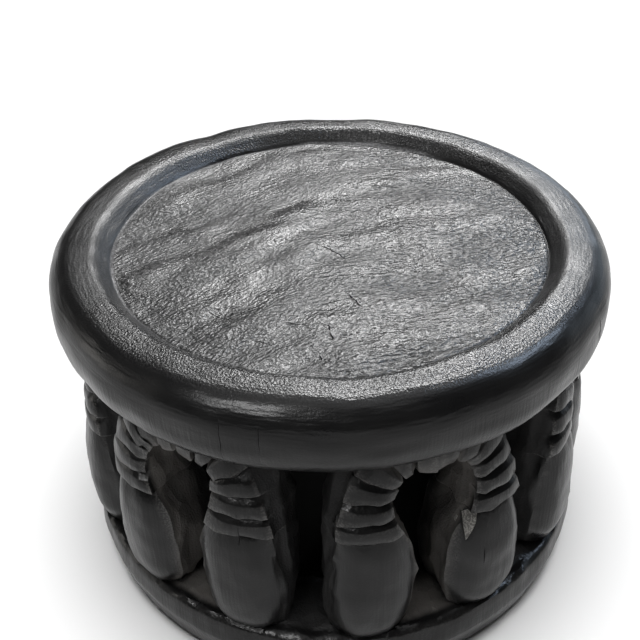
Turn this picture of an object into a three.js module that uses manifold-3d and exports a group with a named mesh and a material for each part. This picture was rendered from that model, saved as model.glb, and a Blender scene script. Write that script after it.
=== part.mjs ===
import * as THREE from 'three';
import { mergeVertices } from 'three/addons/utils/BufferGeometryUtils.js';
import Module from 'manifold-3d';

// A carved wooden stool cut from one block: a thick dished seat, a ring of ribbed arches
// whose limbs swell into bell-shaped bodies, and a base ring. Millimetres, +Z up, with the
// origin on the ground under the middle of the seat. Angles grow from -Y towards +X.

// Seat
const SEAT_RADIUS = 230;
const SEAT_TOP = 300;
const SEAT_UNDERSIDE = 240;
const DISH_RADIUS = 180;
const DISH_DEPTH = 10.6;
const DISH_WALL = 26;
const ROLL_WIDTH = 14;
const ROLL_POWER = 0.85;
const ROLL_STEPS = 8;
const WALL_STEPS = 3;

// Base ring
const BASE_HEIGHT = 54;
const BASE_TOP_RADIUS = 224;
const BASE_BULGE = 1.5;
const BASE_FOOT_RADIUS = 219;
const BASE_INNER_RADIUS = 158;
const BASE_CHAMFER = 6;
const BASE_TOP_FALL = 3;

// Arches: sizes across the face are measured along a circle of FACE_RADIUS
const ARCH_ANGLES = [20.7, 73.8, 124.5, 175, 225.5, 276, 326.5];
const FACE_RADIUS = 222;
const LIMB_OFFSET = 53;
const SPRING_HEIGHT = 190;
const CROWN_HEIGHT = 239;
const CROWN_SQUARENESS = 0.7;
const FOOT_HEIGHT = 48;

// Ribs: each is a band with a sharp lip on its lower edge and a sloping step above it
const RIBS_PER_SIDE = 6;
const RIB_ZONE_END = 164;
const RIB_DEPTH = 4.5;
const RIB_SLOPE = 0.38;
const RIB_END_SET_BACK = 2.5;
const LIP_GAP = 0.4;

// Round parts are faceted with this many sides
const SIDES = 60;

const DEGREE = Math.PI / 180;
const wasm = await Module();
wasm.setup();

// Value at x on a line through pairs [x, value] whose x values fall
function along(pairs, x) {
  if (x >= pairs[0][0]) return pairs[0][1];
  for (let i = 1; i < pairs.length; i += 1) {
    const [x0, v0] = pairs[i - 1];
    const [x1, v1] = pairs[i];
    if (x >= x1) return v0 + ((v1 - v0) * (x0 - x)) / (x0 - x1);
  }
  return pairs[pairs.length - 1][1];
}

// Radius of the front face by height: it leans in under the seat and bulges at the bodies
const FRONT_RADIUS = [
  [245, 212], [222, 215.5], [206, 218], [185, 221.5], [164.1, 223], [163.9, 220.5],
  [150, 225], [120, 228.5], [92, 229], [70, 227], [58, 223], [48, 218],
];

// Radius of the rough inner side of the limbs by height
const BACK_RADIUS = [
  [240, 176], [200, 174], [150, 167], [115, 163], [80, 166], [48, 172],
];

// Half widths of a limb's front by height: towards the opening of its arch, and away from it
const INNER_HALF = [
  [240, 20], [205, 18], [188, 18], [175, 21], [164.1, 25], [163.9, 23],
  [152, 31], [138, 36], [118, 38], [85, 38], [66, 35], [54, 29], [48, 26],
];
const OUTER_HALF = [
  [240, 14], [215, 17], [190, 22], [175, 26], [164.1, 28], [163.9, 24],
  [150, 26.5], [138, 29], [118, 32], [85, 34], [66, 32], [54, 28], [48, 25],
];

// Half width of a limb's plain flank on the side away from the opening, by height
const FLANK_HALF = [
  [240, 28], [200, 31], [170, 34], [144, 36], [110, 37.5], [85, 37], [66, 34], [54, 30], [48, 27],
];

// Radius where a flank meets the slope behind the corner of the front face, by height
const FLANK_RADIUS = [
  [240, 194], [164, 200], [110, 198], [70, 197], [48, 190],
];

// How far behind the corner of the front face the side towards the opening begins
const REVEAL_SET_BACK = 7;

// How far the corners of the front face fall back: little on the ribs, more on the bodies
const CORNER_DROP = [
  [240, 5], [164.1, 5], [163.9, 7], [145, 13], [110, 17], [70, 17], [48, 12],
];

// Heights of the sections through a limb's body, below the last rib
const BODY_HEIGHTS = [163.6, 152, 138, 115, 86, 66, FOOT_HEIGHT];

// Places of the points across a front face, from the opening side to the far side
const FACE_PLACES = [-1, -0.66, 0, 0.66, 1];

// Makes one closed solid of sections that all have the same number of points
function loft(sections) {
  const count = sections[0].length;
  const positions = sections.flat().flatMap((point) => point.toArray());
  const index = [];
  for (let s = 0; s + 1 < sections.length; s += 1) {
    for (let i = 0; i < count; i += 1) {
      const j = (i + 1) % count;
      const a = s * count + i;
      const b = s * count + j;
      index.push(a, b + count, b, a, a + count, b + count);
    }
  }
  for (const [start, flipped] of [[0, false], [(sections.length - 1) * count, true]]) {
    const middle = positions.length / 3;
    const centre = new THREE.Vector3();
    for (let i = 0; i < count; i += 1) {
      centre.add(new THREE.Vector3().fromArray(positions, 3 * (start + i)));
    }
    positions.push(...centre.divideScalar(count).toArray());
    for (let i = 0; i < count; i += 1) {
      const a = start + i;
      const b = start + ((i + 1) % count);
      index.push(middle, flipped ? b : a, flipped ? a : b);
    }
  }
  const geometry = new THREE.BufferGeometry();
  geometry.setAttribute('position', new THREE.Float32BufferAttribute(positions, 3));
  geometry.setIndex(index);
  return geometry;
}

// Half of an arch's middle line, from the crown down to the foot: x is across, y is height
function archLine() {
  const rise = CROWN_HEIGHT - SPRING_HEIGHT;
  const line = new THREE.CurvePath();
  line.add(new THREE.CubicBezierCurve(
    new THREE.Vector2(0, CROWN_HEIGHT),
    new THREE.Vector2(LIMB_OFFSET * CROWN_SQUARENESS, CROWN_HEIGHT),
    new THREE.Vector2(LIMB_OFFSET, SPRING_HEIGHT + rise * CROWN_SQUARENESS),
    new THREE.Vector2(LIMB_OFFSET, SPRING_HEIGHT),
  ));
  line.add(new THREE.LineCurve(
    new THREE.Vector2(LIMB_OFFSET, SPRING_HEIGHT),
    new THREE.Vector2(LIMB_OFFSET, FOOT_HEIGHT),
  ));
  return line;
}

// Distances from the crown and groove depths of the rib sections on half an arch
function ribStations(zoneLength) {
  const pitch = zoneLength / RIBS_PER_SIDE;
  const stations = [{ distance: 0, groove: 0 }];
  for (let rib = 0; rib < RIBS_PER_SIDE; rib += 1) {
    const start = rib * pitch;
    if (rib > 0) {
      stations.push({ distance: start + LIP_GAP, groove: 1 });
      stations.push({ distance: start + pitch * RIB_SLOPE, groove: 0 });
    }
    stations.push({ distance: start + pitch - LIP_GAP, groove: 0 });
  }
  return stations;
}

// A point on the stool from a place across the face, a height and a radius
function onStool(across, height, radius) {
  const angle = across / FACE_RADIUS;
  return new THREE.Vector3(radius * Math.sin(angle), -radius * Math.cos(angle), height);
}

// One section through an arch, square to its middle line, on the side given by side = 1 or -1
function archSection(line, distance, groove, side) {
  const place = distance / line.getLength();
  const point = line.getPoint(place);
  const next = line.getPoint(Math.min(place + 0.001, 1));
  const previous = line.getPoint(Math.max(place - 0.001, 0));
  const heading = next.sub(previous).normalize();
  const away = new THREE.Vector2(-heading.y, heading.x);
  const inner = along(INNER_HALF, point.y) - groove * RIB_END_SET_BACK;
  const outer = along(OUTER_HALF, point.y) - groove * RIB_END_SET_BACK;
  const drop = along(CORNER_DROP, point.y);
  const place3d = (offset, radiusOf) => {
    const across = point.x + away.x * offset;
    const height = point.y + away.y * offset;
    return onStool(side * across, height, radiusOf(height));
  };
  const section = FACE_PLACES.map((x) => {
    const offset = x < 0 ? x * inner : x * outer;
    const fall = drop * Math.abs(x) ** 3 + groove * RIB_DEPTH;
    return place3d(offset, (height) => along(FRONT_RADIUS, height) - fall);
  });
  const edge = along(OUTER_HALF, point.y) + 1;
  const flank = along(FLANK_HALF, point.y);
  const reveal = -along(INNER_HALF, point.y) + RIB_END_SET_BACK;
  const behind = (setBack) => (height) => along(FRONT_RADIUS, height) - drop - setBack;
  const back = (height) => along(BACK_RADIUS, height);
  section.push(place3d(edge, behind(RIB_DEPTH + 1)));
  section.push(place3d(flank, (height) => along(FLANK_RADIUS, height)));
  section.push(place3d(flank, back));
  section.push(place3d(reveal, back));
  section.push(place3d(reveal, behind(REVEAL_SET_BACK)));
  return section;
}

// One whole arch at angle 0, from the foot of one limb over the crown to the other foot
function archGeometry() {
  const line = archLine();
  const stations = ribStations(line.getLength() - (RIB_ZONE_END - FOOT_HEIGHT));
  for (const height of BODY_HEIGHTS) {
    stations.push({ distance: line.getLength() - (height - FOOT_HEIGHT), groove: 0 });
  }
  const half = (side) => stations.map((s) => archSection(line, s.distance, s.groove, side));
  return loft([...half(-1).slice(1).reverse(), ...half(1)]);
}

// Outline of the seat, from the axis on its underside round the rim to the axis on the dish
function seatProfile() {
  const middle = SEAT_RADIUS - ROLL_WIDTH;
  const halfHeight = (SEAT_TOP - SEAT_UNDERSIDE) / 2;
  const points = [new THREE.Vector2(0, SEAT_UNDERSIDE)];
  for (let i = 0; i <= ROLL_STEPS; i += 1) {
    const angle = (i / ROLL_STEPS - 0.5) * Math.PI;
    const out = Math.max(Math.cos(angle), 0) ** ROLL_POWER;
    const up = Math.sign(Math.sin(angle)) * Math.abs(Math.sin(angle)) ** ROLL_POWER;
    points.push(new THREE.Vector2(middle + ROLL_WIDTH * out, SEAT_UNDERSIDE + halfHeight * (1 + up)));
  }
  for (let i = WALL_STEPS; i >= 0; i -= 1) {
    const rise = Math.sin((i / WALL_STEPS) * 90 * DEGREE) ** 1.2;
    const radius = DISH_RADIUS + (DISH_WALL * i) / WALL_STEPS;
    points.push(new THREE.Vector2(radius, SEAT_TOP - DISH_DEPTH * (1 - rise)));
  }
  points.push(new THREE.Vector2(0, SEAT_TOP - DISH_DEPTH));
  return points;
}

// Outline of the base ring, closed on itself
function baseProfile() {
  const outline = [
    [BASE_INNER_RADIUS, 0],
    [BASE_FOOT_RADIUS - BASE_CHAMFER, 0],
    [BASE_FOOT_RADIUS, BASE_CHAMFER],
    [BASE_TOP_RADIUS + BASE_BULGE, BASE_HEIGHT * 0.55],
    [BASE_TOP_RADIUS, BASE_HEIGHT - BASE_CHAMFER / 2],
    [BASE_TOP_RADIUS - BASE_CHAMFER, BASE_HEIGHT],
    [BASE_INNER_RADIUS, BASE_HEIGHT - BASE_TOP_FALL],
    [BASE_INNER_RADIUS, 0],
  ];
  return outline.map(([radius, height]) => new THREE.Vector2(radius, height));
}

// Turns a profile round the upright axis
function turned(profile) {
  const geometry = new THREE.LatheGeometry(profile, SIDES);
  return geometry.rotateX(90 * DEGREE);
}

// A closed geometry as a solid for joining
function asSolid(geometry) {
  const bare = geometry.clone();
  bare.deleteAttribute('normal');
  bare.deleteAttribute('uv');
  const merged = mergeVertices(bare, 1e-3);
  return new wasm.Manifold(new wasm.Mesh({
    numProp: 3,
    vertProperties: new Float32Array(merged.attributes.position.array),
    triVerts: new Uint32Array(merged.index.array),
  }));
}

// A joined solid as a geometry with flat faces
function asGeometry(solid) {
  const mesh = solid.getMesh();
  const geometry = new THREE.BufferGeometry();
  geometry.setAttribute('position', new THREE.Float32BufferAttribute(mesh.vertProperties, 3));
  geometry.setIndex(Array.from(mesh.triVerts));
  geometry.computeVertexNormals();
  return geometry;
}

// The whole stool, joined into one body
function stoolGeometry() {
  const arch = archGeometry();
  let solid = asSolid(turned(seatProfile())).add(asSolid(turned(baseProfile())));
  for (const angle of ARCH_ANGLES) {
    solid = solid.add(asSolid(arch.clone().rotateZ(angle * DEGREE)));
  }
  return asGeometry(solid);
}

const darkWood = new THREE.MeshStandardMaterial({
  color: 0x1e1d1d,
  roughness: 0.42,
  metalness: 0,
});

const stool = new THREE.Mesh(stoolGeometry(), darkWood);
stool.name = 'carved_stool';

const model = new THREE.Group();
model.add(stool);

export default model;
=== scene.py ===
import math

import bmesh
import bpy
from mathutils import Matrix, Vector


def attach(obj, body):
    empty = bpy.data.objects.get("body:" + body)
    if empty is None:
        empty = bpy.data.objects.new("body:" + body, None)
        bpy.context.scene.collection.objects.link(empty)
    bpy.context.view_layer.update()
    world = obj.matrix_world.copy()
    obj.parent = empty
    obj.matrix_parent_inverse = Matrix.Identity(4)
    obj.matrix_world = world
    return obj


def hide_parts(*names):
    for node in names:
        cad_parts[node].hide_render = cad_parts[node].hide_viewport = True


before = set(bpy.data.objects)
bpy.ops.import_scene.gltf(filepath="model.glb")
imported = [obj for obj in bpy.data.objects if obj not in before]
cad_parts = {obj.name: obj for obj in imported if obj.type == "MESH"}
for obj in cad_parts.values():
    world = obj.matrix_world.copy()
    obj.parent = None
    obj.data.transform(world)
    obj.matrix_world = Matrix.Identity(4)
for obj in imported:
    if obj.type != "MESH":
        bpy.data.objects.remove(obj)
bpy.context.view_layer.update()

# A stool carved from one block of wood: a thick dished seat on a ring of ribbed arches
# whose limbs swell into bell-shaped bodies, open inside, on a base ring. Metres, +Z up.

MM = 0.001

# Seat
SEAT_RADIUS = 231 * MM
SEAT_TOP = 301 * MM
SEAT_UNDERSIDE = 240 * MM
DISH_RADIUS = 180 * MM
DISH_DEPTH = 11.6 * MM
DISH_WALL = 17 * MM
CREST_RADIUS = 197 * MM
CREST_FALL = 0.0025 / MM
ROLL_TOP_WIDTH = 20 * MM
ROLL_TOP_POWER = 0.9
ROLL_WIDTH = 14 * MM
ROLL_POWER = 0.85
ROLL_STEPS = 13
WALL_STEPS = 14
WALL_SHOULDER = 0.45
UNDERSIDE_OPENING = 150 * MM
UNDERSIDE_STEPS = 9
SCRIBED_LINE_DEPTH = 0.4 * MM
SCRIBED_LINE_WIDTH = 1.6 * MM
SCRIBED_LINE_OFFSET = 0.4 * MM
TURNING_STEPS = 256
MERGE_DISTANCE = 0.01 * MM
SAME_LEVEL = 0.1 * MM

# Base ring
BASE_HEIGHT = 54 * MM
BASE_TOP_RADIUS = 224 * MM
BASE_BULGE = 1.5 * MM
BASE_BULGE_LEVEL = 0.55
BASE_FOOT_RADIUS = 219 * MM
BASE_INNER_RADIUS = 158 * MM
BASE_CHAMFER = 6 * MM
BASE_TOP_FALL = 3 * MM
BASE_CORNER_CUT = 1.2 * MM
BASE_SIDE_POINTS = [5, 2, 4, 4, 2, 9, 6]

# Arches, in millimetres: across is measured along a circle of FACE_RADIUS, and angles
# grow from the front (-Y) towards +X
ARCH_ANGLES = [20.7, 73.8, 124.5, 175, 225.5, 276, 326.5]
FACE_RADIUS = 222
LIMB_OFFSET = 53
SPRING_HEIGHT = 190
CROWN_HEIGHT = 239
CROWN_SQUARENESS = 0.7
CROWN_STEPS = 200
FOOT_HEIGHT = 48
RIBS_PER_SIDE = 6
RIB_ZONE_END = 164
RIB_DEPTH = 5.2
RIB_SLOPE = 0.38
RIB_SWELL = 0.05
RIB_END_SET_BACK = 2.0
BODY_START = 0.8
BODY_STEP = 4.5
EDGE_STEP = 1
REVEAL_SET_BACK = 7
FACE_POINTS = 13
SIDE_POINTS = [2, 5, 6, 5, 10, 2]
CORNER_CUT = 1.6
MOST_CORNER_CUT = 0.3

# The grooves from a rib's start and the lip at its end, as (distance down the limb, distance
# down its front, depth as a share of RIB_DEPTH): the two differ where a lip overhangs
CROWN_GROOVE = [(0, 0, 0.85), (0.8, 0.8, 0.75), (2.2, 2.2, 0.25), (3.2, 3.2, 0.04)]
CROWN_GROOVE_END = 3.6
UNDERCUT = [(0.3, -0.9, 0.72), (0.7, 0.2, 1.0), (1.4, 1.3, 0.96)]
RIB_LIP = [(-1.2, -0.9, 0.0), (-0.5, -0.1, 0.1), (0, 0.15, 0.3)]
BODY_SHOULDER = (0.3, -0.3, 0.25)
# How the groove slopes out again, as (share of the slope, depth)
GROOVE_SLOPE = [(0.55, 0.56), (0.93, 0.1), (1.05, 0.0)]

# Radius of the front face by height, on the ribs and on the bodies
RIB_FRONT = [(245, 212), (222, 215.5), (206, 218), (185, 221.5), (164, 223)]
BODY_FRONT = [(164, 220.3), (150, 225), (120, 228.5), (92, 229), (70, 227), (58, 223), (48, 218)]
# Radius of the inner side of the limbs by height
BACK = [(240, 176), (200, 174), (150, 167), (115, 163), (80, 166), (48, 172)]
# Half widths of a limb's front by height, towards its arch's opening and away from it
RIB_INNER = [(240, 20), (205, 18), (188, 18), (175, 21), (164, 25)]
BODY_INNER = [(164, 22.6), (152, 31), (138, 36), (118, 38), (85, 38), (66, 35), (54, 29), (48, 26)]
RIB_OUTER = [(240, 14), (215, 17), (190, 22), (175, 26), (164, 28)]
BODY_OUTER = [(164, 23.5), (150, 26.5), (138, 29), (118, 32), (85, 34), (66, 32), (54, 28),
              (48, 25)]
# Half width of the plain flank, and the radius where it meets the slope behind the front
FLANK = [(240, 28), (200, 31), (170, 34), (144, 36), (110, 37.5), (85, 37), (66, 34), (54, 30),
         (48, 27)]
FLANK_RADIUS = [(240, 194), (164, 200), (110, 198), (70, 197), (48, 190)]
# How far the corners of the front face fall back
RIB_DROP = [(240, 5), (164, 5)]
BODY_DROP = [(164, 6.8), (145, 13), (110, 17), (70, 17), (48, 12)]

# Where hand carving begins and is full, as heights, radii and places across
ABOVE_FOOT = (2 * MM, 18 * MM)
BELOW_SEAT = (243 * MM, 236 * MM)
TOP_SIDE = (280 * MM, 284 * MM)
FLOOR_EDGE = (DISH_RADIUS - 1 * MM, DISH_RADIUS - 12 * MM)
FLOOR_MIDDLE = (-60 * MM, 50 * MM)
# The bulge of the seat's left back side: its direction, how far it reaches, and its push
BULGE_DIRECTION = Vector((-0.85, 0.53))
BULGE_REACH = (0.45, 1.0)
BULGE_HEIGHTS = (236 * MM, 262 * MM)
BULGE_RADII = (165 * MM, 205 * MM)
BULGE_PUSH_X = -3.5 * MM
BULGE_PUSH_Y = 2.5 * MM
# How far a face looks away from the middle to be dressed, and how much that takes off
FACING_OUT = (0.45, 0.8)
DRESSED_SHARE = 0.85
LEAST_WEIGHT = 0.01

# Hand carving, as the size of its marks and their depth
ARCH_WANDER = (20 * MM, 0.9 * MM)
WANDER = (100 * MM, 2.2 * MM)
SWELLING = (32 * MM, 0.9 * MM)
TOOL_MARK = (17 * MM, 7 * MM)
TOOL_MARK_TURN = 20
TOOL_MARK_STRETCH = (1, 1, 2.2)
TOOL_MARK_LEVEL = 0.15
DISH_WAVE = (24 * MM, 4.6 * MM)
# The waves of the dish's floor on each side: their turn in degrees and how long they are
DISH_WAVES = [("left", 36, 3.2), ("right", 12, 3.6)]
SMOOTH_ANGLE = 38

# Wear, from the mean slope of the edges round a point, and the degrees from an arch's middle
SHORTEST_EDGE = 0.3 * MM
WORN_SLOPE = (0.1, 0.4)
HOLLOW_SLOPE = (0.06, 0.26)
REVEAL_REACH = (13, 10.5)

# Cracks, in millimetres. In the floor of the dish, as lines of (x, y) points:
DISH_CRACKS = [
    [(-42, -18), (-29, -5), (-13, -2), (5, -15), (14, -26)],
    [(2, -63), (14, -78), (24, -96)],
    [(-10, -91), (4, -87), (15, -84)],
    [(-8, -116), (-1, -120), (2, -138)],
    [(-36, -112), (-23, -117), (-14, -116)],
    [(-55, -134), (-44, -140), (-32, -142)],
    [(-118, -98), (-108, -106)],
    [(-102, -112), (-97, -117), (-89, -114)],
    [(-98, -92), (-84, -103), (-71, -112)],
    [(-8, -153), (-6, -161)],
]
# Upright, in the side of the seat and in the limbs: angle, lowest and highest point
SIDE_CRACKS = [(-27.9, 243, 250), (-19.6, 244, 286), (-18.9, 243, 257), (-12.8, 243, 290),
               (9, 246, 262), (62, 243, 280), (118, 244, 270), (171, 243, 288), (229, 244, 274),
               (288, 243, 284)]
LIMB_CRACKS = [(-19.2, 138, 186), (30.4, 112, 136), (63, 90, 120), (112, 100, 140),
               (189, 96, 150), (262, 100, 136)]
CRACK_WIDTH = 0.6
CRACK_DEPTH = 2.2
# How much a crack's width varies, and the waves that its width and its line follow
CRACK_UNEVENNESS = 0.3
WIDTH_WAVES = (7, 3)
SWAY_WAVES = (5.1, 2.3)
# Length of a crack's short pieces, and how far they sway
DISH_CRACK_STEPS = (5, 0.7)
SIDE_CRACK_STEPS = (6, 0.2)
# How far the middle and the top of an upright crack lean to a side
SIDE_CRACK_MIDDLE, SIDE_CRACK_TOP = 0.6, -0.3
# A radius outside the stool, in metres, from where an upright crack's place is found
OUTSIDE = 0.4
# Where a chip broke off the inner edge of a limb, the way it faces (outwards, sideways and
# up), and its outline as (across, up) points
CHIP_ANGLE, CHIP_RADIUS, CHIP_HEIGHT = 27.2, 214.5 * MM, 146 * MM
CHIP_FACING = (0.42, -0.8, 0.42)
CHIP_OUTLINE = [(-4.5, 13), (1, 17.5), (7, 18.5), (9.2, 3), (7.8, -15), (0.5, 0)]
CHIP_REACH = 30
CHIP_FLATNESS = 0.05 * MM


# Small helpers

def along(pairs, x):
    """Smooth value at x through (x, value) pairs whose x values fall."""
    if x >= pairs[0][0]:
        return pairs[0][1]
    if x <= pairs[-1][0]:
        return pairs[-1][1]
    i = next(k for k in range(1, len(pairs)) if x >= pairs[k][0])
    (x0, v0), (x1, v1) = pairs[i - 1], pairs[i]
    before = pairs[max(i - 2, 0)]
    after = pairs[min(i + 1, len(pairs) - 1)]
    slope0 = (v1 - before[1]) / (x1 - before[0])
    slope1 = (after[1] - v0) / (after[0] - x0)
    t = (x - x0) / (x1 - x0)
    span = x1 - x0
    return ((2 * t**3 - 3 * t**2 + 1) * v0 + (t**3 - 2 * t**2 + t) * span * slope0
            + (3 * t**2 - 2 * t**3) * v1 + (t**3 - t**2) * span * slope1)


def share(low, high, x):
    """How far x is on its way from low to high, kept between 0 and 1."""
    return min(max((x - low) / (high - low), 0), 1)


def smooth_step(low, high, x):
    t = share(low, high, x)
    return t * t * (3 - 2 * t)


def shares(count, cut):
    """Even steps along a side that stay off both of its ends by a cut."""
    return [cut + (1 - 2 * cut) * k / (count - 1) for k in range(count)]


def outward_at(turn):
    """The level direction away from the stool's middle, at a turn from the front."""
    return Vector((math.sin(turn), -math.cos(turn), 0))


def round_stool(turn, radius, height):
    """The place at a turn from the front, with its radius and height in millimetres."""
    return Vector((radius * math.sin(turn), -radius * math.cos(turn), height)) * MM


def deselect_all():
    if bpy.context.object and bpy.context.object.mode != "OBJECT":
        bpy.ops.object.mode_set(mode="OBJECT")
    bpy.ops.object.select_all(action="DESELECT")


def pick(piece):
    deselect_all()
    piece.select_set(True)
    bpy.context.view_layer.objects.active = piece


def join_pieces(pieces):
    deselect_all()
    for piece in pieces:
        piece.select_set(True)
    bpy.context.view_layer.objects.active = pieces[0]
    bpy.ops.object.join()
    return pieces[0]


def apply_modifier(piece, kind, **settings):
    pick(piece)
    modifier = piece.modifiers.new(kind.title(), kind)
    for name, value in settings.items():
        setattr(modifier, name, value)
    bpy.ops.object.modifier_apply(modifier=modifier.name)


def add_loop(places, fill_type="NOTHING"):
    """A new piece, open for editing: one loop with a point at each place."""
    deselect_all()
    bpy.ops.mesh.primitive_circle_add(vertices=len(places), radius=MM, fill_type=fill_type)
    piece = bpy.context.object
    bpy.ops.object.mode_set(mode="EDIT")
    mesh = bmesh.from_edit_mesh(piece.data)
    for vert, place in zip(mesh.verts, places):
        vert.co = place
    bmesh.update_edit_mesh(piece.data)
    return piece


def face_outwards():
    bpy.ops.mesh.select_all(action="SELECT")
    bpy.ops.mesh.normals_make_consistent(inside=False)


def turned(name, outline, closed):
    """A piece turned round the upright axis from a profile of (radius, height)."""
    piece = add_loop([(radius, 0, height) for radius, height in outline])
    piece.name = name
    if not closed:
        mesh = bmesh.from_edit_mesh(piece.data)
        mesh.verts.ensure_lookup_table()
        mesh.edges.remove(mesh.edges.get((mesh.verts[0], mesh.verts[len(outline) - 1])))
        bmesh.update_edit_mesh(piece.data)
    bpy.ops.mesh.select_all(action="SELECT")
    bpy.ops.mesh.spin(steps=TURNING_STEPS, angle=2 * math.pi, center=(0, 0, 0), axis=(0, 0, 1))
    bpy.ops.mesh.select_all(action="SELECT")
    bpy.ops.mesh.remove_doubles(threshold=MERGE_DISTANCE)
    face_outwards()
    bpy.ops.object.mode_set(mode="OBJECT")
    return piece


def fill_hole(piece, height, rounds):
    """Closes the round hole at a height with a grid of faces; each round splits them in four."""
    pick(piece)
    bpy.ops.object.mode_set(mode="EDIT")
    bpy.ops.mesh.select_mode(type="EDGE")
    bpy.ops.mesh.select_all(action="DESELECT")
    mesh = bmesh.from_edit_mesh(piece.data)
    for edge in mesh.edges:
        if edge.is_boundary and all(abs(v.co.z - height) < SAME_LEVEL for v in edge.verts):
            edge.select_set(True)
    bmesh.update_edit_mesh(piece.data)
    bpy.ops.mesh.fill_grid(span=TURNING_STEPS // 4)
    for _ in range(rounds):
        bpy.ops.mesh.subdivide(number_cuts=1)
    face_outwards()
    bpy.ops.mesh.select_mode(type="VERT")
    bpy.ops.object.mode_set(mode="OBJECT")


# Seat and base ring

def crest_fall(radius):
    """How far the top has sunk outside its crest."""
    return CREST_FALL * max(radius - CREST_RADIUS, 0) ** 2


def wall_rise(t):
    """The dish's wall: straight, then a shoulder that rounds over into the crest."""
    past = max(t - WALL_SHOULDER, 0)
    return (t - past ** 2 / (2 * (1 - WALL_SHOULDER))) / ((1 + WALL_SHOULDER) / 2)


def seat_outline():
    """From the opening of the underside, round the rim, to the edge of the dish's floor."""
    half_height = (SEAT_TOP - SEAT_UNDERSIDE) / 2
    level = SEAT_UNDERSIDE + half_height
    under = SEAT_RADIUS - ROLL_WIDTH
    outline = []
    for i in range(UNDERSIDE_STEPS):
        radius = UNDERSIDE_OPENING + (under - UNDERSIDE_OPENING) * i / UNDERSIDE_STEPS
        outline.append((radius, SEAT_UNDERSIDE))
    for i in range(ROLL_STEPS):
        angle = (1 - i / ROLL_STEPS) * math.pi / 2
        outline.append((under + ROLL_WIDTH * math.cos(angle) ** ROLL_POWER,
                        level - half_height * math.sin(angle) ** ROLL_POWER))
    for i in range(ROLL_STEPS + 1):
        angle = i / ROLL_STEPS * math.pi / 2
        radius = SEAT_RADIUS - ROLL_TOP_WIDTH * (1 - max(math.cos(angle), 0) ** ROLL_TOP_POWER)
        rise = half_height * math.sin(angle) ** ROLL_TOP_POWER
        outline.append((radius, level + rise * (1 - crest_fall(radius) / half_height)))
    for i in range(WALL_STEPS, 0, -1):
        radius = DISH_RADIUS + DISH_WALL * i / WALL_STEPS
        rise = wall_rise(i / WALL_STEPS)
        outline.append((radius, SEAT_TOP - DISH_DEPTH * (1 - rise) - crest_fall(radius)))
    floor = SEAT_TOP - DISH_DEPTH
    outline += [(DISH_RADIUS + SCRIBED_LINE_OFFSET, floor - SCRIBED_LINE_DEPTH),
                (DISH_RADIUS - SCRIBED_LINE_WIDTH / 2, floor - SCRIBED_LINE_DEPTH / 2),
                (DISH_RADIUS - SCRIBED_LINE_WIDTH, floor)]
    return outline


def make_seat():
    seat = turned("carved_wood", seat_outline(), closed=False)
    fill_hole(seat, SEAT_TOP - DISH_DEPTH, rounds=1)
    fill_hole(seat, SEAT_UNDERSIDE, rounds=0)
    return seat


def base_outline():
    corners = [
        (BASE_INNER_RADIUS, 0), (BASE_FOOT_RADIUS - BASE_CHAMFER, 0),
        (BASE_FOOT_RADIUS, BASE_CHAMFER),
        (BASE_TOP_RADIUS + BASE_BULGE, BASE_HEIGHT * BASE_BULGE_LEVEL),
        (BASE_TOP_RADIUS, BASE_HEIGHT - BASE_CHAMFER / 2),
        (BASE_TOP_RADIUS - BASE_CHAMFER, BASE_HEIGHT),
        (BASE_INNER_RADIUS, BASE_HEIGHT - BASE_TOP_FALL),
    ]
    outline = []
    ends = corners[1:] + corners[:1]
    for (r0, z0), (r1, z1), count in zip(corners, ends, BASE_SIDE_POINTS):
        cut = BASE_CORNER_CUT / math.hypot(r1 - r0, z1 - z0)
        outline += [(r0 + (r1 - r0) * t, z0 + (z1 - z0) * t) for t in shares(count, cut)]
    return outline


def make_base():
    return turned("base_ring", base_outline(), closed=True)


# Arches

# The curve of half an arch's middle line, as (across, height), from the crown to the spring
CROWN_CURVE = [
    Vector((0, CROWN_HEIGHT)),
    Vector((LIMB_OFFSET * CROWN_SQUARENESS, CROWN_HEIGHT)),
    Vector((LIMB_OFFSET, SPRING_HEIGHT + (CROWN_HEIGHT - SPRING_HEIGHT) * CROWN_SQUARENESS)),
    Vector((LIMB_OFFSET, SPRING_HEIGHT)),
]


def crown_point(t):
    a, b, c, d = CROWN_CURVE
    return a * (1 - t)**3 + b * 3 * t * (1 - t)**2 + c * 3 * t**2 * (1 - t) + d * t**3


def crown_lengths():
    """Distance from the crown at even steps of its curve."""
    lengths = [0]
    for i in range(CROWN_STEPS):
        step = crown_point((i + 1) / CROWN_STEPS) - crown_point(i / CROWN_STEPS)
        lengths.append(lengths[-1] + step.length)
    return lengths


CROWN_LENGTHS = crown_lengths()
CROWN_LENGTH = CROWN_LENGTHS[-1]


def crown_place(distance):
    """Parameter of the crown's curve at a distance along it."""
    i = next(k for k in range(1, CROWN_STEPS + 1) if CROWN_LENGTHS[k] >= distance)
    gap = CROWN_LENGTHS[i] - CROWN_LENGTHS[i - 1]
    return (i - 1 + (distance - CROWN_LENGTHS[i - 1]) / gap) / CROWN_STEPS


def arch_point(distance):
    """Place on an arch's middle line and its heading, by distance from the crown."""
    if distance >= CROWN_LENGTH:
        return Vector((LIMB_OFFSET, SPRING_HEIGHT - (distance - CROWN_LENGTH))), Vector((0, -1))
    t = crown_place(max(distance, 0))
    a, b, c, d = CROWN_CURVE
    heading = (b - a) * (1 - t)**2 + (c - b) * 2 * t * (1 - t) + (d - c) * t**2
    return crown_point(t), heading.normalized()


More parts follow.
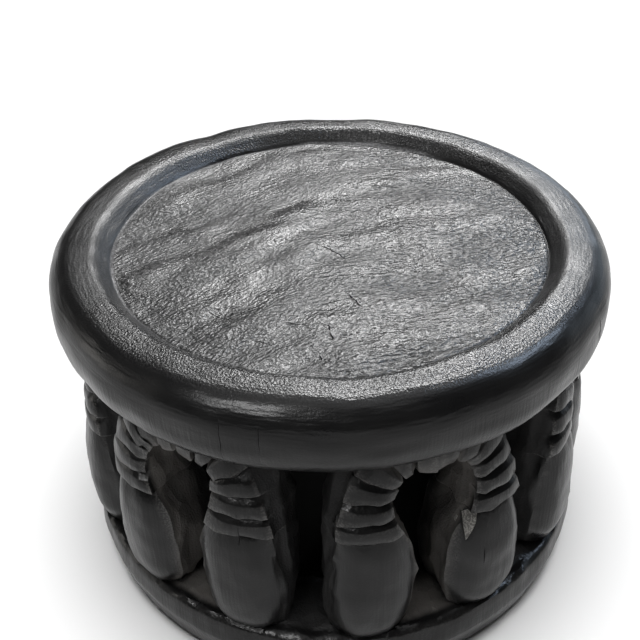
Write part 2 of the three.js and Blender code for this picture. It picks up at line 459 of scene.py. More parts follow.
def rib_stations(zone):
    """(distance, distance on the front, groove depth) down half an arch's ribs.

    Each rib is a band with a rounded upper edge and a sharp lower lip, and below the lip
    the groove runs back under it and slopes out again to the next band.
    """
    pitch = zone / RIBS_PER_SIDE
    slope = pitch * RIB_SLOPE
    rows = list(CROWN_GROOVE)
    face = CROWN_GROOVE_END
    for rib in range(RIBS_PER_SIDE):
        start = rib * pitch
        end = start + pitch
        if rib > 0:
            rows += [(start + down, start + front, depth) for down, front, depth in UNDERCUT]
            for part, depth in GROOVE_SLOPE:
                face = start + slope * part
                rows.append((face, face, depth))
        middle = face + (end - face) * 0.5
        rows.append((middle, middle, -RIB_SWELL))
        rows += [(end + down, end + front, depth) for down, front, depth in RIB_LIP]
    return rows


def section(distance, front_distance, groove, is_body, side):
    """A cut across a limb: points over its rounded front, then round its other sides."""
    front = BODY_FRONT if is_body else RIB_FRONT
    inner_widths = BODY_INNER if is_body else RIB_INNER
    outer_widths = BODY_OUTER if is_body else RIB_OUTER
    drops = BODY_DROP if is_body else RIB_DROP

    def place(offset, radius_of, at):
        point, heading = arch_point(at)
        across = side * (point.x - heading.y * offset)
        height = point.y + heading.x * offset
        return across, height, radius_of(height)

    middle = arch_point(distance)[0].y
    set_back = max(groove, 0) * RIB_END_SET_BACK
    inner = along(inner_widths, middle) - set_back
    outer = along(outer_widths, middle) - set_back
    drop = along(drops, middle)
    face = []
    for i in range(FACE_POINTS):
        x = -1 + 2 * i / (FACE_POINTS - 1)
        offset = x * (inner if x < 0 else outer)
        fall = drop * abs(x) ** 3 + groove * RIB_DEPTH
        face.append(place(offset, lambda h: along(front, h) - fall, front_distance))

    edge = along(outer_widths, middle) + EDGE_STEP
    flank = along(FLANK, middle)
    reveal = RIB_END_SET_BACK - along(inner_widths, middle)
    chain = [
        face[-1],
        place(edge, lambda h: along(front, h) - drop - RIB_DEPTH - EDGE_STEP, distance),
        place(flank, lambda h: along(FLANK_RADIUS, h), distance),
        place(flank, lambda h: along(BACK, h), distance),
        place(reveal, lambda h: along(BACK, h), distance),
        place(reveal, lambda h: along(front, h) - drop - REVEAL_SET_BACK, distance),
        face[0],
    ]
    points = list(face)
    for start, end, count in zip(chain, chain[1:], SIDE_POINTS):
        start, end = Vector(start), Vector(end)
        cut = min(CORNER_CUT / (end - start).length, MOST_CORNER_CUT)
        points += [start.lerp(end, t) for t in shares(count, cut)]
    return [round_stool(across / FACE_RADIUS, radius, height) for across, height, radius in points]


def arch_sections():
    """The cuts along an arch, from one foot over the crown to the other."""
    whole = CROWN_LENGTH + SPRING_HEIGHT - FOOT_HEIGHT
    zone = whole - (RIB_ZONE_END - FOOT_HEIGHT)
    rows = [(*station, False) for station in rib_stations(zone)]
    down, front, depth = BODY_SHOULDER
    rows.append((zone + down, zone + front, depth, True))
    steps = round((RIB_ZONE_END - FOOT_HEIGHT) / BODY_STEP)
    for i in range(steps + 1):
        distance = zone + BODY_START + (whole - zone - BODY_START) * i / steps
        rows.append((distance, distance, 0, True))
    first, second = ([section(*row, side) for row in rows] for side in (-1, 1))
    return first[:0:-1] + second


def make_arch():
    """Extrudes a section along the arch, foot to foot."""
    sections = arch_sections()
    arch = add_loop(sections[0], fill_type="NGON")
    mesh = bmesh.from_edit_mesh(arch.data)
    ring = list(mesh.verts)
    for row in sections[1:]:
        order = {v.index: i for i, v in enumerate(ring)}
        bmesh.update_edit_mesh(arch.data)
        bpy.ops.mesh.extrude_region_move()
        mesh = bmesh.from_edit_mesh(arch.data)
        mesh.verts.index_update()
        ring = [None] * len(row)
        for vert in mesh.verts:
            if vert.select:
                other = next(e.other_vert(vert) for e in vert.link_edges if not e.select)
                ring[order[other.index]] = vert
        for vert, place in zip(ring, row):
            vert.co = place
    bmesh.update_edit_mesh(arch.data)
    face_outwards()
    bpy.ops.object.mode_set(mode="OBJECT")
    return arch


def make_arches():
    """One arch, copied round the stool, its lines left to wander as they were cut by eye."""
    first = make_arch()
    copies = []
    for angle in ARCH_ANGLES:
        pick(first)
        bpy.ops.object.duplicate()
        copy = bpy.context.object
        copy.data.transform(Matrix.Rotation(math.radians(angle), 4, "Z"))
        copies.append(copy)
    bpy.data.objects.remove(first)
    arches = join_pieces(copies)
    arches.name = "arches"
    weigh(arches, "free", free)
    wander(arches, *ARCH_WANDER)
    arches.vertex_groups.clear()
    return arches


# Hand carving

def weigh(piece, name, weight):
    """A vertex group that holds each point as strongly as weight(place, normal) says."""
    group = piece.vertex_groups.new(name=name)
    for vert in piece.data.vertices:
        value = weight(vert.co, vert.normal)
        if value > LEAST_WEIGHT:
            group.add([vert.index], min(value, 1), "REPLACE")


def free(place, normal):
    """Everything but the flat underside of the foot may be carved."""
    return smooth_step(*ABOVE_FOOT, place.z)


def hewn(place, normal):
    """The tool marks are plain to see on all but the dressed outer faces."""
    facing = smooth_step(*FACING_OUT, place.xy.normalized().dot(normal.xy))
    return free(place, normal) * smooth_step(*BELOW_SEAT, place.z) * (1 - DRESSED_SHARE * facing)


def on_floor(place):
    return smooth_step(*FLOOR_EDGE, place.xy.length) * smooth_step(*TOP_SIDE, place.z)


def floor_left(place, normal):
    return on_floor(place) * smooth_step(*reversed(FLOOR_MIDDLE), place.x)


def floor_right(place, normal):
    return on_floor(place) * smooth_step(*FLOOR_MIDDLE, place.x)


def bulging(place, normal):
    """The seat's left back side, which stands out a little."""
    toward = place.xy.normalized().dot(BULGE_DIRECTION)
    return (smooth_step(*BULGE_REACH, toward) * smooth_step(*BULGE_HEIGHTS, place.z)
            * smooth_step(*BULGE_RADII, place.xy.length))


def pushed(piece, direction, distance, group):
    apply_modifier(piece, "DISPLACE", direction=direction, strength=distance, mid_level=0,
                   vertex_group=group)


def displaced(piece, kind, size, look, group, direction, depth, middle=0.5, **coordinates):
    """Moves a piece's surface by a texture of a kind and size."""
    texture = bpy.data.textures.new("marks", kind)
    texture.noise_scale = size
    for name, value in look.items():
        setattr(texture, name, value)
    apply_modifier(piece, "DISPLACE", texture=texture, vertex_group=group, direction=direction,
                   strength=depth, mid_level=middle, **coordinates)


def wander(piece, size, depth):
    """Lets the lines of a piece wander to all sides."""
    displaced(piece, "CLOUDS", size, {"cloud_type": "COLOR", "noise_depth": 1}, "free",
              "RGB_TO_XYZ", 2 * depth, texture_coords="LOCAL")


def swell(piece, size, depth):
    """Low swellings over a surface."""
    displaced(piece, "CLOUDS", size, {"noise_depth": 1}, "free", "NORMAL", 2 * depth,
              texture_coords="LOCAL")


def mark(piece, kind, size, depth, look, group, turn, stretch, direction, middle=0.5):
    """Tool marks from a texture turned about the upright axis and stretched."""
    deselect_all()
    bpy.ops.object.empty_add(rotation=(0, 0, math.radians(turn)))
    guide = bpy.context.object
    guide.scale = stretch
    bpy.context.view_layer.update()
    displaced(piece, kind, size, look, group, direction, depth, middle,
              texture_coords="OBJECT", texture_coords_object=guide)
    bpy.data.objects.remove(guide)


def carve(stool):
    """Works the whole surface over: bulge, tool marks, uneven lines, the waves of the floor."""
    for name, weight in (("hewn", hewn), ("free", free), ("left", floor_left),
                         ("right", floor_right), ("bulging", bulging)):
        weigh(stool, name, weight)
    pushed(stool, "X", BULGE_PUSH_X, "bulging")
    pushed(stool, "Y", BULGE_PUSH_Y, "bulging")
    mark(stool, "VORONOI", *TOOL_MARK, {"distance_metric": "DISTANCE_SQUARED"}, "hewn",
         TOOL_MARK_TURN, TOOL_MARK_STRETCH, "NORMAL", TOOL_MARK_LEVEL)
    wander(stool, *WANDER)
    swell(stool, *SWELLING)
    for group, turn, length in DISH_WAVES:
        mark(stool, "CLOUDS", *DISH_WAVE, {"noise_depth": 1}, group, turn,
             (length, 1, length), "Z")
    stool.vertex_groups.clear()


def mark_wear(piece):
    """Stores how far each point stands out, where hands rub it bare, how far it lies in a
    hollow, and whether it is between the limbs of an arch."""
    mesh = bmesh.new()
    mesh.from_mesh(piece.data)
    mesh.normal_update()
    worn, hollow, reveal = [], [], []
    for vert in mesh.verts:
        total = 0
        for edge in vert.link_edges:
            way = edge.other_vert(vert).co - vert.co
            if way.length > SHORTEST_EDGE:
                total -= way.normalized().dot(vert.normal)
        slope = total / max(len(vert.link_edges), 1)
        worn.append(share(*WORN_SLOPE, slope))
        hollow.append(share(*HOLLOW_SLOPE, -slope))
        bearing = math.degrees(math.atan2(vert.co.x, -vert.co.y))
        gap = min(abs((bearing - angle + 180) % 360 - 180) for angle in ARCH_ANGLES)
        reveal.append(smooth_step(*REVEAL_REACH, gap))
    mesh.free()
    for name, values in (("worn", worn), ("hollow", hollow), ("reveal", reveal)):
        layer = piece.data.attributes.new(name, "FLOAT", "POINT")
        layer.data.foreach_set("value", values)


# Cracks and the chip

def blade_of(rim, low, high, place):
    """A block between two depths with a rim of (u, v) points: place(u, v, depth) sets it."""
    blade = add_loop([place(u, v, low) for u, v in rim], fill_type="NGON")
    bpy.ops.mesh.extrude_region_move()
    mesh = bmesh.from_edit_mesh(blade.data)
    mesh.verts.ensure_lookup_table()
    for i, (u, v) in enumerate(rim):
        lower = mesh.verts[i]
        upper = next(e.other_vert(lower) for e in lower.link_edges if e.other_vert(lower).select)
        upper.co = place(u, v, high)
    bmesh.update_edit_mesh(blade.data)
    face_outwards()
    if bmesh.from_edit_mesh(blade.data).calc_volume(signed=True) < 0:
        bpy.ops.mesh.flip_normals()
    bpy.ops.object.mode_set(mode="OBJECT")
    return blade


def crack_blade(path, place):
    """A thin blade along a path, uneven in width and pointed at both ends."""
    last = len(path) - 1
    there, back = [], []
    for i, (u, v) in enumerate(path):
        before, after = path[max(i - 1, 0)], path[min(i + 1, last)]
        run = Vector((after[0] - before[0], after[1] - before[1])).normalized()
        wave = math.sin(WIDTH_WAVES[0] * u + WIDTH_WAVES[1] * v)
        half = CRACK_WIDTH / 2 * (1 + CRACK_UNEVENNESS * wave)
        if i in (0, last):
            there.append((u, v))
        else:
            there.append((u - run.y * half, v + run.x * half))
            back.append((u + run.y * half, v - run.x * half))
    return blade_of(there + back[::-1], CRACK_DEPTH, -CRACK_DEPTH, place)


def broken_line(path, step, sway):
    """Splits a path into short lengths that sway a little to both sides."""
    points = []
    for (u0, v0), (u1, v1) in zip(path, path[1:]):
        length = math.hypot(u1 - u0, v1 - v0)
        count = max(round(length / step), 1)
        for i in range(count):
            t = i / count
            wave = math.sin(SWAY_WAVES[0] * (u0 + v1) + SWAY_WAVES[1] * i)
            aside = sway * wave if points else 0
            points.append((u0 + (u1 - u0) * t - (v1 - v0) / length * aside,
                           v0 + (v1 - v0) * t + (u1 - u0) / length * aside))
    points.append(path[-1])
    return points


def floor_crack(path):
    def in_floor(u, v, depth):
        return Vector((u, v, (SEAT_TOP - DISH_DEPTH) / MM - depth)) * MM
    return crack_blade(broken_line(path, *DISH_CRACK_STEPS), in_floor)


def upright_crack(piece, angle, low, high):
    """A crack at a turn from the front, on whatever outer face is there."""
    turn = math.radians(angle)
    middle = (low + high) / 2
    start = outward_at(turn)
    _, spot, _, _ = piece.ray_cast(start * OUTSIDE + Vector((0, 0, middle * MM)), -start)
    radius = spot.xy.length / MM

    def on_side(u, v, depth):
        return round_stool(turn + u / radius, radius - depth, v)
    path = [(0, low), (SIDE_CRACK_MIDDLE, middle), (SIDE_CRACK_TOP, high)]
    return crack_blade(broken_line(path, *SIDE_CRACK_STEPS), on_side)


def chip_frame():
    """The chip's place, its outward normal, and the direction up its face."""
    turn = math.radians(CHIP_ANGLE)
    outward = outward_at(turn)
    sideways = Vector((math.cos(turn), math.sin(turn), 0))
    spot = outward * CHIP_RADIUS + Vector((0, 0, CHIP_HEIGHT))
    out, aside, rise = CHIP_FACING
    normal = (outward * out + sideways * aside + Vector((0, 0, rise))).normalized()
    upward = (Vector((0, 0, 1)) - normal * normal.z).normalized()
    return spot, normal, upward


def chip_blade():
    """A block with one face where the chip broke off."""
    spot, normal, upward = chip_frame()

    def over_chip(u, v, depth):
        return spot + (upward.cross(normal) * u + upward * v - normal * depth) * MM
    return blade_of(CHIP_OUTLINE, 0, -CHIP_REACH, over_chip)


def mark_chip(piece):
    """Stores which faces are the bare wood of the chip."""
    spot, normal, _ = chip_frame()
    chipped = piece.data.attributes.new("chipped", "FLOAT", "FACE")
    for face in piece.data.polygons:
        gap = face.center - spot
        on_face = abs(gap.dot(normal)) < CHIP_FLATNESS and gap.length < CHIP_REACH * MM
        chipped.data[face.index].value = 1.0 if on_face else 0.0


def cut_cracks(piece):
    blades = [chip_blade()]
    blades += [floor_crack(path) for path in DISH_CRACKS]
    blades += [upright_crack(piece, *crack) for crack in SIDE_CRACKS + LIMB_CRACKS]
    blade = join_pieces(blades)
    apply_modifier(piece, "BOOLEAN", object=blade, operation="DIFFERENCE", solver="EXACT")
    bpy.data.objects.remove(blade)


# The whole stool

def join_solid(body, addition):
    apply_modifier(body, "BOOLEAN", object=addition, operation="UNION", solver="EXACT")
    bpy.data.objects.remove(addition)


def make_stool():
    stool = make_seat()
    base = make_base()
    arches = make_arches()
    join_solid(stool, base)
    join_solid(stool, arches)
    mark_wear(stool)
    cut_cracks(stool)
    mark_chip(stool)
    carve(stool)
    pick(stool)
    bpy.ops.object.shade_smooth_by_angle(angle=math.radians(SMOOTH_ANGLE))
    return stool


# Materials and their nodes

def start_nodes(owner):
    """Gives a material or the world its nodes; the functions below then add to them."""
    global tree
    owner.use_nodes = True
    tree = owner.node_tree
    return owner


def connect(value, socket):
    if isinstance(value, bpy.types.NodeSocket):
        tree.links.new(value, socket)
    else:
        socket.default_value = value


def fill_sockets(made, **sockets):
    for name, value in sockets.items():
        connect(value, made.inputs[name.replace("_", " ")])


def node(kind, settings=None, **sockets):
    made = tree.nodes.new(kind)
    for name, value in (settings or {}).items():
        setattr(made, name, value)
    fill_sockets(made, **sockets)
    return made


def math_node(operation, *values):
    made = node("ShaderNodeMath", {"operation": operation})
    for value, socket in zip(values, made.inputs):
        connect(value, socket)
    return made.outputs[0]


def plus(first, *others):
    for other in others:
        first = math_node("ADD", first, other)
    return first


def times(first, *others):
    for other in others:
        first = math_node("MULTIPLY", first, other)
    return first


def ramp(value, low, high):
    """0 below low, 1 above high, smooth between; high may be the lower number."""
    made = node("ShaderNodeMapRange", {"interpolation_type": "SMOOTHSTEP"}, Value=value,
                From_Min=low, From_Max=high)
    return made.outputs["Result"]


def mix(data_type, sockets, output, values):
    """A Mix node, whose factor and two inputs go by number, as their names are alike."""
    made = node("ShaderNodeMix", {"data_type": data_type})
    for value, socket in zip(values, sockets):
        connect(value, made.inputs[socket])
    return made.outputs[output]


def blend(factor, first, second):
    return mix("FLOAT", (0, 2, 3), 0, (factor, first, second))


def blend_colour(factor, first, second):
    return mix("RGBA", (0, 6, 7), 2, (factor, first, second))


def attribute(name):
    return node("ShaderNodeAttribute", {"attribute_name": name}).outputs["Fac"]


def noise_at(spot, detail, **sockets):
    return node("ShaderNodeTexNoise", Vector=spot, Detail=detail, **sockets).outputs["Fac"]


def noise(size, detail):
    return noise_at(place, detail, Scale=1 / size)


def stretched(turn, size):
    """Places for a pattern with cells of a size, turned about the upright axis."""
    return node("ShaderNodeMapping", {"vector_type": "TEXTURE"}, Vector=place,
                Rotation=(0, 0, turn), Scale=size).outputs[0]


def strokes(turn, long, wide, deep=None):
    """Streaky noise: strokes of a length and width in millimetres, turned by degrees."""
    size = [length * MM for length in (long, wide, deep or long)]
    return noise_at(stretched(math.radians(turn), size), detail=1.0, Scale=1.0, Roughness=0.45)


def wrapped(around, upright, detail):
    """Noise bent round the stool: cells for each radian, and for each metre up and out."""
    bearing = math_node("ARCTAN2", across, times(along_y, -1.0))
    spot = node("ShaderNodeCombineXYZ", X=times(bearing, around), Y=times(up_z, upright),
                Z=times(radius, upright))
    return noise_at(spot.outputs[0], detail, Scale=1.0)


# Where the wood's finish changes, as radii, heights or other places, and the levels of its
# patterns, each from nothing to full
DISH_EDGE = (DISH_RADIUS + 1.5 * MM, DISH_RADIUS - 1.5 * MM)
CREST_START = (DISH_RADIUS + 1 * MM, DISH_RADIUS + 6 * MM)
CREST_END = (222 * MM, 204 * MM)
BEHIND_FACES = (216 * MM, 208 * MM)
INSIDE_RING = (190 * MM, 168 * MM)
UNDER_RIM = (SEAT_UNDERSIDE - 2 * MM, SEAT_UNDERSIDE - 8 * MM)
UNDER_SEAT = (SEAT_UNDERSIDE, SEAT_UNDERSIDE - 6 * MM)
HOLLOWS_BELOW = (SEAT_UNDERSIDE + 3 * MM, SEAT_UNDERSIDE - 2 * MM)
ROLL_START = (SEAT_UNDERSIDE - 2 * MM, SEAT_UNDERSIDE + 4 * MM)
ROLL_END = (296 * MM, 284 * MM)
UPPER_ROLL = (265 * MM, 282 * MM)
FLOOR_SIDES = (-30 * MM, 140 * MM)
FRONT_OR_BACK = (50 * MM, 150 * MM)
# Where the painted highlight along the dish's edge lies
EDGE_LINE_INSIDE = (DISH_RADIUS - 1.5 * MM, DISH_RADIUS - 0.3 * MM)
EDGE_LINE_OUTSIDE = (DISH_RADIUS + 2.5 * MM, DISH_RADIUS + 1 * MM)
EDGE_LINE_END = (-20 * MM, 100 * MM)
SWATHES = (0.4, 0.6)
PEAKS = (0.45, 0.62)
SPECKLE = (0.45, 0.6)

# How much the crest counts as polished top
CREST_SHARE = 0.6
# Direction of the back left, across and along
BACK_LEFT = (-0.8, 0.6)

# Sizes of the wood's patterns
PATCH_SIZE = 45 * MM
PATCH_SHIFT = 120 * MM
GRAIN_SIZE = 1.6 * MM
SCOOP_SIZE = (11 * MM, 11 * MM, 30 * MM)
SCOOP_TURN = 0.4
# Strokes, as their turn in degrees, length, width and, where it differs, depth in millimetres
DRESSING_LEFT, DRESSING_RIGHT = (38, 4.4, 2.1), (14, 6, 2.4)
SWATHE_LEFT, SWATHE_RIGHT = (38, 70, 34), (12, 100, 40)
UPRIGHT_STROKES = (0, 2.2, 2.2, 45)
# Patterns bent round the stool, as cells for each radian and each metre, and their detail
TURNED_LINES = (12.0, 320.0, 1.0)
FLATS = (4.5, 70.0, 0.0)

# Heights of the fine relief in millimetres, a pair where it changes with its place
DRESSING_HEIGHT = (1.6, 0.95)
FLOOR_GRAIN_HEIGHT = 0.55
FLOOR_RELIEF = (0.75, 1.1)
CREST_GRAIN_HEIGHT = (0.2, 0.72)
GRAIN_HEIGHT = (0.12, 0.45)
UPRIGHT_HEIGHT = 0.25
TURNED_LINE_HEIGHT = 0.35
SCOOP_HEIGHT = (0.5, 1.8)
FLAT_HEIGHT = 1.5

# Colours of the wood and of its stain, and of the shade and highlights painted into it
THICK_STAIN = (0.0035, 0.0035, 0.004, 1)
THIN_STAIN = (0.009, 0.0088, 0.0085, 1)
# Lighter peaks on the top: partly rubbed wear, partly painted sheen and glints
SHEEN_AND_WEAR_ON_PEAKS = (0.05, 0.049, 0.049, 1)
# Painted shade in the hollows of the grooves
PAINTED_SHADE_IN_HOLLOWS = (0.005, 0.005, 0.005, 1)
BARE_WOOD = (0.05, 0.0465, 0.044, 1)
PALE_BARE_WOOD = (0.14, 0.13, 0.12, 1)
# Bare wood darkened by painted shade on the flanks between neighbouring arches
PAINTED_SHADE_BETWEEN_ARCHES = (0.016, 0.0155, 0.0155, 1)
# Bare wood darkened by painted shade inside the ring of limbs
PAINTED_SHADE_INSIDE_RING = (0.009, 0.0085, 0.008, 1)
RUBBED_WOOD = (0.12, 0.115, 0.11, 1)
# Painted highlight along the dish's edge
PAINTED_EDGE_HIGHLIGHT = (0.2, 0.2, 0.205, 1)
FRESH_WOOD = (0.3, 0.29, 0.27, 1)
# How much of a colour shows, off and on its pattern
# How strongly the peaks' painted sheen and wear show, off and on the swathes
PEAK_SHEEN_AND_WEAR = (0.35, 1.1)
RUBBED_SPECKLE = (0.25, 1.0)
LINE_SPECKLE = (0.3, 0.9)
CHIP_SPECKLE = (0.4, 1.0)

# Roughness: its ground, what is added for patches, marks and places, and the rough cut's own
GROUND_ROUGHNESS = (0.2, 0.05)
PATCH_ROUGHNESS = (0.2, 0.24)
VALLEY_ROUGHNESS = 0.06
SWATHE_ROUGHNESS = (0.1, 0.0)
FLOOR_ROUGHNESS = (0.045, -0.01)
CREST_ROUGHNESS = (0.15, -0.04)
ROUGH_CUT_ROUGHNESS = 0.7
WOOD_SPECULAR = 0.2

stool = make_stool()
wood = start_nodes(bpy.data.materials.new("dark_stained_wood"))
place = node("ShaderNodeTexCoord").outputs["Object"]
across, along_y, up_z = node("ShaderNodeSeparateXYZ", Vector=place).outputs
radius = math_node("SQRT", plus(times(across, across), times(along_y, along_y)))

# Places on the stool
on_upper_side = ramp(up_z, *TOP_SIDE)
in_dish = times(ramp(radius, *DISH_EDGE), on_upper_side)
on_crest = times(ramp(radius, *CREST_START), ramp(radius, *CREST_END), on_upper_side)
on_top = math_node("MAXIMUM", in_dish, times(on_crest, CREST_SHARE))
on_roll = times(ramp(up_z, *ROLL_START), ramp(up_z, *ROLL_END))
front_or_back = ramp(math_node("ABSOLUTE", along_y), *FRONT_OR_BACK)
unpolished = times(ramp(radius, *BEHIND_FACES), ramp(up_z, *UNDER_RIM))
hollow = times(attribute("hollow"), ramp(up_z, *HOLLOWS_BELOW))
rough_cut = math_node("MAXIMUM", unpolished, hollow)

# Marks: the floor of the dish is dressed with short strokes in swathes, aslant on the left
# and nearly level on the right, the sides have upright strokes, the upper roll has lines
# round it, and the inside has scoops
patches = noise(PATCH_SIZE, detail=3.0)
side_of_floor = ramp(plus(across, times(patches, PATCH_SHIFT)), *FLOOR_SIDES)
dressing = blend(side_of_floor, strokes(*DRESSING_LEFT), strokes(*DRESSING_RIGHT))
swathes = ramp(blend(side_of_floor, strokes(*SWATHE_LEFT), strokes(*SWATHE_RIGHT)), *SWATHES)
grain = noise(GRAIN_SIZE, detail=1.5)
speckle = ramp(noise(GRAIN_SIZE, detail=2.0), *SPECKLE)
peaks = ramp(blend(in_dish, grain, dressing), *PEAKS)
upright_strokes = strokes(*UPRIGHT_STROKES)
turned_lines = wrapped(*TURNED_LINES)
flats = wrapped(*FLATS)
cuts = node("ShaderNodeTexVoronoi", Vector=stretched(SCOOP_TURN, SCOOP_SIZE), Scale=1.0)
scoops = cuts.outputs["Distance"]
cut_tone = node("ShaderNodeSeparateColor", Color=cuts.outputs["Color"]).outputs[0]

# Fine relief
dressed_height = times(dressing, blend(swathes, *DRESSING_HEIGHT))
floor_height = times(plus(dressed_height, times(grain, FLOOR_GRAIN_HEIGHT)),
                     blend(side_of_floor, *FLOOR_RELIEF))
grain_height = blend(on_crest, blend(rough_cut, *GRAIN_HEIGHT),
                     blend(front_or_back, *CREST_GRAIN_HEIGHT))
side_height = blend(ramp(up_z, *UPPER_ROLL), times(upright_strokes, UPRIGHT_HEIGHT),
                    times(turned_lines, TURNED_LINE_HEIGHT))
scoop_height = times(ramp(up_z, *UNDER_SEAT), blend(unpolished, *SCOOP_HEIGHT))
rest_height = plus(times(grain, grain_height), side_height, times(scoops, scoop_height),
                   times(flats, on_roll, FLAT_HEIGHT))
relief = node("ShaderNodeBump", Height=blend(in_dish, rest_height, floor_height),
              Distance=1 * MM, Strength=1.0)

# Colour: stain, then bare wood where the stain is thin or worn off, with painted shade and painted
# highlights laid over it
stain_and_sheen = blend_colour(patches, THICK_STAIN, THIN_STAIN)
# Lighter peaks on the dish and crest, stronger in the swathes: partly rubbed wear, partly painted
# sheen
stain_and_sheen = blend_colour(times(on_top, peaks, blend(swathes, *PEAK_SHEEN_AND_WEAR)), stain_and_sheen, SHEEN_AND_WEAR_ON_PEAKS)
bare = blend_colour(plus(times(cut_tone, 0.5), times(patches, 0.5)), BARE_WOOD, PALE_BARE_WOOD)
# Painted shade on the bare flanks between neighbouring arches, away from the arches' openings
bare = blend_colour(attribute("reveal"), PAINTED_SHADE_BETWEEN_ARCHES, bare)
# Painted shade on bare wood towards the inside of the stool
bare = blend_colour(ramp(radius, *INSIDE_RING), bare, PAINTED_SHADE_INSIDE_RING)
colour = blend_colour(unpolished, stain_and_sheen, bare)
# Painted shade darkens the hollows of the grooves under the seat
colour = blend_colour(hollow, colour, PAINTED_SHADE_IN_HOLLOWS)
rubbed = times(attribute("worn"), blend(speckle, *RUBBED_SPECKLE))
colour = blend_colour(rubbed, colour, RUBBED_WOOD)
# Painted highlight: a light line round the dish floor's edge on the left and back, broken up by
# speckle
back_left = plus(times(across, BACK_LEFT[0]), times(along_y, BACK_LEFT[1]))
edge_line = times(ramp(radius, *EDGE_LINE_INSIDE), ramp(radius, *EDGE_LINE_OUTSIDE),
                  ramp(back_left, *EDGE_LINE_END), on_upper_side, blend(speckle, *LINE_SPECKLE))
colour = blend_colour(edge_line, colour, PAINTED_EDGE_HIGHLIGHT)
chipped = times(attribute("chipped"), blend(speckle, *CHIP_SPECKLE))
colour = blend_colour(chipped, colour, FRESH_WOOD)

# Polish
roughness = plus(
    blend(on_top, *GROUND_ROUGHNESS),
    times(patches, blend(on_top, *PATCH_ROUGHNESS)),
    times(on_top, math_node("SUBTRACT", 1.0, peaks), VALLEY_ROUGHNESS),
    times(on_top, blend(swathes, *SWATHE_ROUGHNESS)),
    times(in_dish, blend(side_of_floor, *FLOOR_ROUGHNESS)),
    times(on_crest, blend(front_or_back, *CREST_ROUGHNESS)),
)
fill_sockets(tree.nodes["Principled BSDF"], Base_Color=colour, Normal=relief.outputs["Normal"],
             Roughness=blend(rough_cut, roughness, ROUGH_CUT_ROUGHNESS),
             Specular_IOR_Level=WOOD_SPECULAR)
stool.data.materials.clear()
stool.data.materials.append(wood)
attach(stool, "root")
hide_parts("carved_stool")

# Floor, pale but for painted shade inside the base ring

FLOOR_SIZE = 60
FLOOR_SHADE = (150 * MM, 170 * MM)
SHADED_FLOOR = (0.02, 0.02, 0.02, 1)
PALE_FLOOR = (0.86, 0.86, 0.86, 1)
PAINT_ROUGHNESS = 0.9
PAINT_SPECULAR = 0.1

deselect_all()
bpy.ops.mesh.primitive_plane_add(size=FLOOR_SIZE)
floor = bpy.context.object
floor.name = "floor"
paint = start_nodes(bpy.data.materials.new("pale_floor"))
place = node("ShaderNodeTexCoord").outputs["Object"]
from_middle = node("ShaderNodeVectorMath", {"operation": "LENGTH"}, Vector=place).outputs["Value"]
fill_sockets(tree.nodes["Principled BSDF"], Roughness=PAINT_ROUGHNESS,
             Specular_IOR_Level=PAINT_SPECULAR,
             Base_Color=blend_colour(ramp(from_middle, *FLOOR_SHADE), SHADED_FLOOR, PALE_FLOOR))
floor.data.materials.append(paint)

# Light: the backdrop is bright for the camera alone, and most lamps only make gloss

WHITE = (1, 1, 1)
WARM_WHITE = (1, 0.97, 0.92)
SKY_BLUE = (0.66, 0.8, 1)
PALE_BLUE = (0.72, 0.86, 1)
WALL_BLUE = (0.75, 0.86, 1)
SEAT_LEVEL = (0, 0, 0.28)
BACKDROP_LIGHT = 0.015
BACKDROP_SEEN = 0.9

world = start_nodes(bpy.data.worlds.new("studio"))
seen = node("ShaderNodeLightPath").outputs["Is Camera Ray"]
strength = node("ShaderNodeMapRange", Value=seen, To_Min=BACKDROP_LIGHT, To_Max=BACKDROP_SEEN)
fill_sockets(tree.nodes["Background"], Color=(*WHITE, 1), Strength=strength.outputs["Result"])
bpy.context.scene.world = world


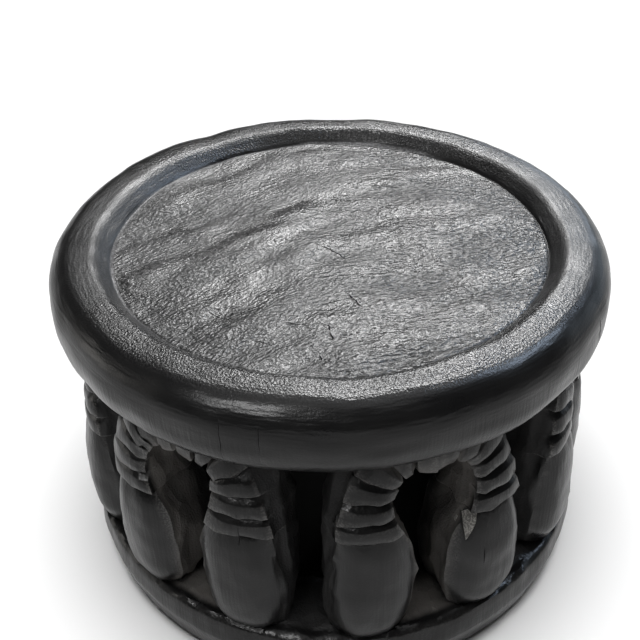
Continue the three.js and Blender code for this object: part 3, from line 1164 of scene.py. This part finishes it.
def softbox(name, place, aim, size, power, colour=WHITE, gloss_only=True):
    bpy.ops.object.light_add(type="AREA", location=place)
    lamp = bpy.context.object
    lamp.name = name
    lamp.data.shape = "RECTANGLE"
    lamp.data.size, lamp.data.size_y = size
    lamp.data.energy = power
    lamp.data.color = colour
    lamp.rotation_euler = (Vector(aim) - Vector(place)).to_track_quat("-Z", "Y").to_euler()
    lamp.visible_diffuse = not gloss_only


def wide_sun(name, place, power, angle):
    """Even light from above, too wide to throw hard shadows, that makes no gloss."""
    bpy.ops.object.light_add(type="SUN", location=place)
    lamp = bpy.context.object
    lamp.name = name
    lamp.data.energy = power
    lamp.data.angle = math.radians(angle)
    lamp.visible_glossy = False


softbox("back_light", (0.44, 2.1, 2.35), (0.147, 0, 0.28), (1.0, 1.1), 160)
softbox("back_left_light", (-0.55, 2.1, 2.35), (-0.183, 0, 0.28), (0.7, 1.1), 28)
softbox("wall_light", (1.0, 1.8, 0.85), (0, 0, 0.3), (0.8, 0.6), 7.5, WALL_BLUE)
softbox("top_light", (0, 0, 3.0), (0, 0, 0), (3, 3), 38, gloss_only=False)
wide_sun("floor_light", (0, 0.2, 4), 3.1, 36)
softbox("left_light", (-2.2, 0, 0.6), (0, 0, 0.15), (0.9, 0.9), 9, WARM_WHITE)
softbox("right_light", (2.0, 1.2, 0.7), (0, 0, 0.2), (1.7, 0.9), 6, PALE_BLUE)
softbox("front_left_light", (-1.1, -1.6, 2.25), SEAT_LEVEL, (1.0, 0.5), 52)
softbox("front_right_light", (1.5, 0.6, 2.1), SEAT_LEVEL, (0.8, 0.7), 45, SKY_BLUE)
bpy.context.scene.view_settings.view_transform = "Standard"

# Camera, with its focal length in pixels of the frame and its turn in degrees

FRAME_WIDTH = 640
FOCAL_LENGTH = 1000
SENSOR_WIDTH = 36
CAMERA_PLACE = (0, -0.7146, 0.7333)
CAMERA_TURN = (53.6623, 1.3687, -0.2476)

camera_data = bpy.data.cameras.new("camera")
camera_data.sensor_width = SENSOR_WIDTH
camera_data.lens = SENSOR_WIDTH * FOCAL_LENGTH / FRAME_WIDTH
camera = bpy.data.objects.new("camera", camera_data)
camera.location = CAMERA_PLACE
camera.rotation_euler = [math.radians(angle) for angle in CAMERA_TURN]
bpy.context.scene.collection.objects.link(camera)
bpy.context.scene.camera = camera
